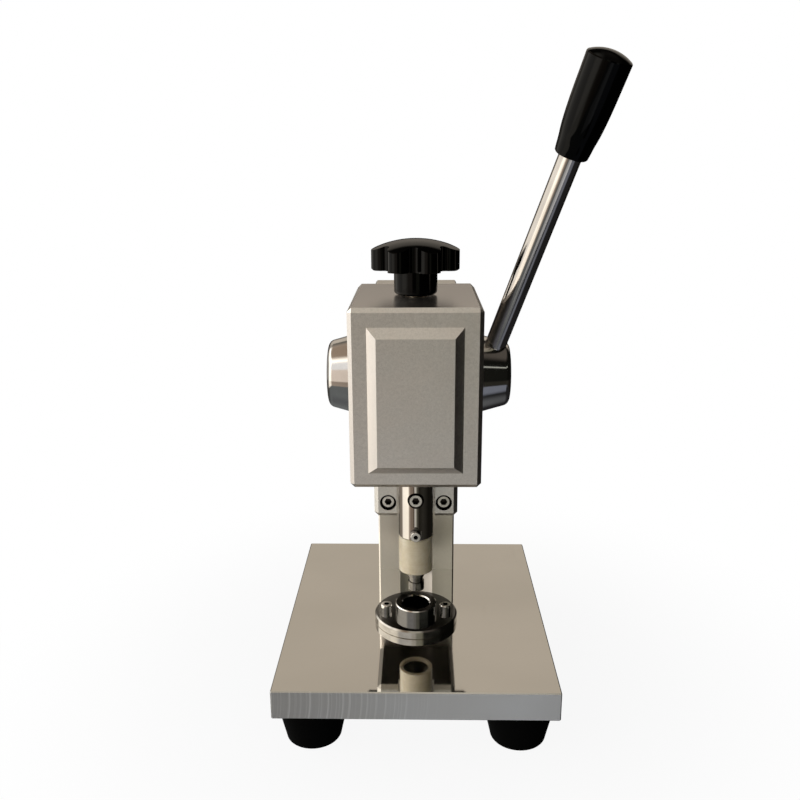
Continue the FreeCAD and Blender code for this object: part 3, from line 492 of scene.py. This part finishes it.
MATS = {
    "base_plate": mirror_steel("of_mirror_steel"),
    "column": column_steel("of_column_steel"),
    "guide_block": satin_alu("of_satin_alu_block", tint=(0.90, 0.885, 0.855), rough=0.36, seed=2.0,
                             shaded_counterbores=[(c[0], c[1], 0.00495) for c in GB_C]),
    "guide_block_screws": screw_metal("of_screw_steel_block", axis="Y", centres=GB_C, face=GB_F, r_key=0.0022, r_gap_shadow=0.0034),
    "holder_screw": screw_metal("of_screw_steel_holder", axis="Y", centres=[HS_C], face=HS_LO[1], r_key=0.0022, r_gap_shadow=0.0034),
    "punch_clamp_screw": screw_metal("of_screw_steel_clamp", axis="Y", centres=[PC_C], face=PC_LO[1], r_key=0.00150, r_gap_shadow=0.0029),
    "die_screws": screw_metal("of_screw_steel_die", tint=(0.80, 0.78, 0.75), rough=0.03, axis="Z", centres=DS_C, face=DS_HI[2], r_key=0.00175, r_gap_shadow=0.0060),
    "rear_screw": turned("of_screw_steel_rear", (0.24, 0.23, 0.215), 0.08, "Z", (DIE_X, DIE_Y + 0.05, 0.0), groove=900.0, amp=0.3, dirt=0.6, dark=(0.02, 0.018, 0.015), seed=5.0),
    "head_housing": satin_alu("of_satin_alu_head", rough=0.35),
    "ram": plated("of_polished_ram", tint=(0.60, 0.57, 0.54), rough=0.05, seed=0.7),
    "punch_holder": plated("of_polished_holder", tint=(0.60, 0.57, 0.54), rough=0.045, seed=1.1,
                           shaded_counterbores=[(HS_C[0], HS_C[1], 0.00478, DIE_Y)]),
    "cross_shaft": plated("of_polished_shaft", tint=(0.62, 0.60, 0.58), rough=0.10, seed=1.9),
    "upper_punch": turned("of_tool_steel_punch", (0.50, 0.48, 0.46), 0.10, "Z", (DIE_X, DIE_Y, 0.0), seed=1.0, underside_shade=True),
    "die_ring": turned("of_tool_steel_ring", (0.98, 0.955, 0.91), 0.045, "Z", (DIE_X, DIE_Y, 0.0), seed=0.0, bore=0.008, top=(0.105, 0.10, 0.095)),
    "die_flange": turned("of_tool_steel_flange", (0.47, 0.455, 0.43), 0.045, "Z", (DIE_X, DIE_Y, 0.0), seed=0.0, top=(0.10, 0.096, 0.09)),
    "lower_punch": turned("of_tool_steel_lower", (0.14, 0.135, 0.125), 0.16, "Z", (DIE_X, DIE_Y, 0.0), seed=4.0),
    "left_hub": plated("of_chrome_hub_l", tint=(0.70, 0.68, 0.66), rough=0.07, seed=2.3, left_end_shade=True),
    "lever_hub": plated("of_chrome_hub_r", tint=(0.68, 0.66, 0.64), rough=0.07, seed=3.1),
    "lever_rod": plated("of_chrome_rod", tint=(0.57, 0.54, 0.51), rough=0.10, seed=4.7),
    "star_knob": black_plastic("of_phenolic_knob", seed=0.0),
    "lever_grip": black_plastic("of_phenolic_grip", seed=1.3),
    "rubber_feet": rubber("of_rubber"),
    "nylon_sleeve": nylon("of_nylon"),
    "ram_bush": warm_metal("of_bronze_ram", (0.52, 0.38, 0.20)),
    "shaft_bushes": warm_metal("of_bronze_shaft", (0.52, 0.38, 0.20), seed=1.0),
    "stop_pad": warm_metal("of_brass_pad", (0.68, 0.53, 0.26), 0.24, seed=2.0),
    "knob_insert": warm_metal("of_brass_insert", (0.68, 0.53, 0.26), 0.24, seed=3.0),
}
SCREW = screw_metal("of_screw_steel")
MATS["rear_screw_collar"] = MATS["rear_screw"]
OILED = oiled_steel("of_gear_steel")
SPRING = oiled_steel("of_spring_steel", (0.24, 0.24, 0.25), 0.26)
for n in ("foot_washers", "foot_screws", "column_base_screws", "column_block_screws",
          "head_side_screws", "stop_arm_screw", "hub_set_screws", "adjusting_screw"):
    MATS[n] = SCREW
for n in ("stop_arm", "pinion", "shaft_key", "pinion_spacers"):
    MATS[n] = OILED
MATS["return_spring"] = SPRING
missing = sorted(set(NODES) - set(MATS))
if missing:
    raise RuntimeError("nodes without a finish: %s" % missing)
for name, ob in NODES.items():
    for s in ob.material_slots:
        s.material = MATS[name]

# --------------------------------------------------------------------- studio
CAM_P, CAM_YAW, CAM_ROLL = math.radians(15.887), math.radians(1.301), math.radians(-0.359)
CAM_POS = Vector((-0.01005, -0.47988, 0.31190))


def make_camera():
    p, a, r = CAM_P, CAM_YAW, CAM_ROLL
    r0 = Vector((math.cos(a), math.sin(a), 0))
    f = Vector((-math.sin(a) * math.cos(p), math.cos(a) * math.cos(p), -math.sin(p)))
    u0 = Vector((-math.sin(a) * math.sin(p), math.cos(a) * math.sin(p), math.cos(p)))
    rr = math.cos(r) * r0 + math.sin(r) * u0
    uu = -math.sin(r) * r0 + math.cos(r) * u0
    data = bpy.data.cameras.new("camera")
    data.sensor_width = 36.0
    data.lens = 848.407 / 800.0 * 36.0
    data.clip_start = 0.01
    data.clip_end = 50.0
    ob = bpy.data.objects.new("camera", data)
    SCENE.collection.objects.link(ob)
    ob.matrix_world = Matrix(((rr.x, uu.x, -f.x, CAM_POS.x), (rr.y, uu.y, -f.y, CAM_POS.y),
                              (rr.z, uu.z, -f.z, CAM_POS.z), (0, 0, 0, 1)))
    SCENE.camera = ob


make_camera()


def make_world():
    w = bpy.data.worlds.new("studio")
    SCENE.world = w
    w.use_nodes = True
    g = Tree(w.node_tree)
    out = g.node("ShaderNodeOutputWorld")
    tc = g.node("ShaderNodeTexCoord")
    dx, dy, dz = g.xyz(tc.outputs["Generated"])
    az = g.math("DEGREES", g.math("ARCTAN2", dx, g.mul(dy, -1.0)))
    el = g.math("DEGREES", g.math("ARCSINE", dz))
    def ring_of(stops):
        ramp = g.node("ShaderNodeValToRGB")
        ramp.color_ramp.interpolation = "LINEAR"
        el0 = ramp.color_ramp.elements
        while len(el0) < len(stops):
            el0.new(0.5)
        for e, (a, c) in zip(el0, stops):
            e.position = (a + 180.0) / 360.0
            e.color = (c[0] / 4.0, c[1] / 4.0, c[2] / 4.0, 1)
        g.put(ramp.inputs[0], g.remap(az, -180.0, 180.0))
        return g.vmul(ramp.outputs[0], (4.0, 4.0, 4.0))

    # round the room at eye level: window to the left, dark side to the right
    level = ring_of([(-180, (0.012, 0.011, 0.009)), (-160, (0.03, 0.027, 0.022)), (-140, (0.30, 0.27, 0.23)),
                     (-128, (1.40, 1.33, 1.20)), (-98, (1.25, 1.19, 1.10)), (-80, (1.30, 1.24, 1.14)), (-70, (2.3, 2.16, 1.92)),
                     (-54, (2.3, 2.16, 1.92)), (-46, (1.5, 1.36, 1.2)), (-40, (0.92, 0.79, 0.68)), (-20, (0.80, 0.68, 0.58)),
                     (-15, (0.10, 0.08, 0.06)), (0, (0.05, 0.04, 0.03)), (4, (0.42, 0.41, 0.32)), (17, (0.42, 0.41, 0.32)),
                     (22, (0.012, 0.012, 0.010)), (60, (0.005, 0.005, 0.004)), (150, (0.006, 0.006, 0.005)),
                     (180, (0.012, 0.011, 0.009))])
    # lower down: the window's sill and what stands below it
    lower = ring_of([(-180, (0.012, 0.011, 0.009)), (-150, (0.10, 0.09, 0.075)), (-130, (0.27, 0.235, 0.195)),
                     (-104, (0.36, 0.31, 0.26)), (-94, (1.6, 1.5, 1.34)), (-52, (1.75, 1.63, 1.42)), (-44, (0.55, 0.46, 0.38)),
                     (-34, (0.30, 0.235, 0.185)), (-18, (0.26, 0.205, 0.16)), (-12, (0.06, 0.05, 0.035)),
                     (4, (0.03, 0.025, 0.015)), (8, (0.10, 0.092, 0.075)), (14, (0.10, 0.092, 0.075)),
                     (22, (0.02, 0.018, 0.013)), (50, (0.035, 0.033, 0.027)), (90, (0.01, 0.009, 0.007)),
                     (180, (0.012, 0.011, 0.009))])
    ring = g.mixc(g.smooth(el, -15.0, -11.0), lower, level)
    # wall behind, seen in every level face
    behind = g.math("ABSOLUTE", az)
    wall_c = g.mixc(g.smooth(el, 12.0, 24.0), (0.40, 0.355, 0.305, 1), (0.61, 0.545, 0.46, 1))
    wall = g.mul(g.smooth(behind, 132.0, 150.0), g.mul(g.smooth(el, 7.0, 10.5), g.smooth(el, 36.0, 42.0, 1.0, 0.0)))
    ring = g.mixc(wall, ring, wall_c)
    # top light of the window, and its thin far end over the dark side
    lamp = g.mul(g.band(az, -130.0, 12.0, 3.0), g.band(el, 21.0, 41.0, 3.0))
    lamp_c = g.mixc(g.smooth(az, -60.0, -44.0), (2.2, 2.08, 1.88, 1), (1.05, 1.03, 1.01, 1))
    lamp_c = g.mixc(g.smooth(az, -16.0, -9.0), lamp_c, (0.85, 0.82, 0.76, 1))
    lamp_c = g.mixc(g.smooth(az, -0.5, 1.5), lamp_c, (0.50, 0.50, 0.42, 1))
    ring = g.mixc(lamp, ring, lamp_c)
    thin = g.mul(g.band(az, 12.0, 70.0, 4.0), g.band(el, 26.0, 29.0, 1.2))
    ring = g.mixc(thin, ring, (0.55, 0.56, 0.50, 1))
    # ceiling: brown over the window, pale in the middle, dim on the far side
    ceil_c = g.mixc(g.smooth(dx, -0.34, -0.16), (0.36, 0.275, 0.205, 1), (0.60, 0.56, 0.48, 1))
    ceil_c = g.mixc(g.smooth(dx, 0.10, 0.28), ceil_c, (0.095, 0.082, 0.070, 1))
    ceil_m = g.mul(g.smooth(el, 42.0, 56.0), g.smooth(behind, 165.0, 140.0, 0.0, 1.0))
    ceil_m = g.math("MAXIMUM", ceil_m, g.smooth(el, 58.0, 74.0))
    col = g.mixc(ceil_m, ring, ceil_c)
    # floor of the room, and the pale bench edge in front
    floor_r = g.mixc(g.smooth(az, 44.0, 54.0), (0.20, 0.215, 0.26, 1), (0.020, 0.020, 0.021, 1))
    floor_c = g.mixc(g.smooth(az, -20.0, 30.0), (0.155, 0.165, 0.165, 1), floor_r)
    floor_c = g.mixc(g.smooth(el, -70.0, -52.0, 1.0, 0.0), floor_c, (0.12, 0.125, 0.13, 1))
    floor_m = g.smooth(el, -28.0, -25.0, 1.0, 0.0)
    col = g.mixc(floor_m, col, floor_c)
    near_b = g.mul(g.band(az, -9.0, 7.0, 2.0), g.band(el, -27.2, -12.0, 0.6))
    near_c = g.mixc(g.smooth(az, -1.0, 1.0), (0.80, 0.755, 0.69, 1), (0.44, 0.44, 0.37, 1))
    col = g.mixc(near_b, col, near_c)
    bench = g.mul(g.band(az, -18.0, 13.0, 4.0), g.band(el, -41.0, -29.8, 0.8))
    shade = g.mul(g.band(az, 6.0, 22.0, 3.0), g.band(el, -50.0, -41.0, 1.5))
    col = g.mixc(shade, col, (0.025, 0.025, 0.027, 1))
    bench_c = g.mixc(g.smooth(az, -9.0, 8.0), (0.51, 0.515, 0.52, 1), (0.78, 0.805, 0.83, 1))
    col = g.mixc(bench, col, bench_c)
    bg = g.node("ShaderNodeBackground")
    g.put(bg.inputs["Color"], col)
    g.put(bg.inputs["Strength"], 1.0)
    white = g.node("ShaderNodeBackground")
    g.put(white.inputs["Color"], (1.0, 1.0, 1.0, 1.0))
    g.put(white.inputs["Strength"], 1.0)
    lp = g.node("ShaderNodeLightPath")
    mix = g.node("ShaderNodeMixShader")
    g.put(mix.inputs[0], lp.outputs["Is Camera Ray"])
    g.t.links.new(bg.outputs[0], mix.inputs[1])
    g.t.links.new(white.outputs[0], mix.inputs[2])
    g.t.links.new(mix.outputs[0], out.inputs["Surface"])


make_world()


def make_floor():
    me = bpy.data.meshes.new("studio_floor")
    n, r = 96, 6.0
    verts = [(0.0, 0.0, 0.0)] + [(r * math.cos(2 * math.pi * i / n), r * math.sin(2 * math.pi * i / n), 0.0) for i in range(n)]
    faces = [(0, 1 + i, 1 + (i + 1) % n) for i in range(n)]
    me.from_pydata(verts, [], faces)
    ob = bpy.data.objects.new("studio_floor", me)
    SCENE.collection.objects.link(ob)
    m, g, p = new_material("studio_white")
    o = g.obj()
    c = g.mixc(g.noise(o, 3.0, 2.0), (0.56, 0.61, 0.70, 1), (0.58, 0.63, 0.72, 1))
    setp(g, p, color=c, rough=0.9, spec=0.0)
    fx, fy, fz = g.xyz(o)
    far = g.math("SQRT", g.add(g.mul(fx, fx), g.mul(fy, fy)))
    glow = g.node("ShaderNodeEmission")
    g.put(glow.inputs["Color"], (1.0, 1.0, 1.0, 1.0))
    g.put(glow.inputs["Strength"], 1.0)
    lift = g.node("ShaderNodeMixShader")
    g.put(lift.inputs[0], g.smooth(far, 0.08, 0.30, 0.92, 1.0))
    g.t.links.new(p.outputs[0], lift.inputs[1])
    g.t.links.new(glow.outputs[0], lift.inputs[2])
    out = [n for n in m.node_tree.nodes if n.type == "OUTPUT_MATERIAL"][0]
    g.t.links.new(lift.outputs[0], out.inputs["Surface"])
    me.materials.append(m)
    ob.visible_glossy = False
    ob.visible_diffuse = False


make_floor()

SCENE.view_settings.view_transform = "Standard"
SCENE.view_settings.look = "None"
SCENE.view_settings.exposure = 0.0
SCENE.view_settings.gamma = 1.0
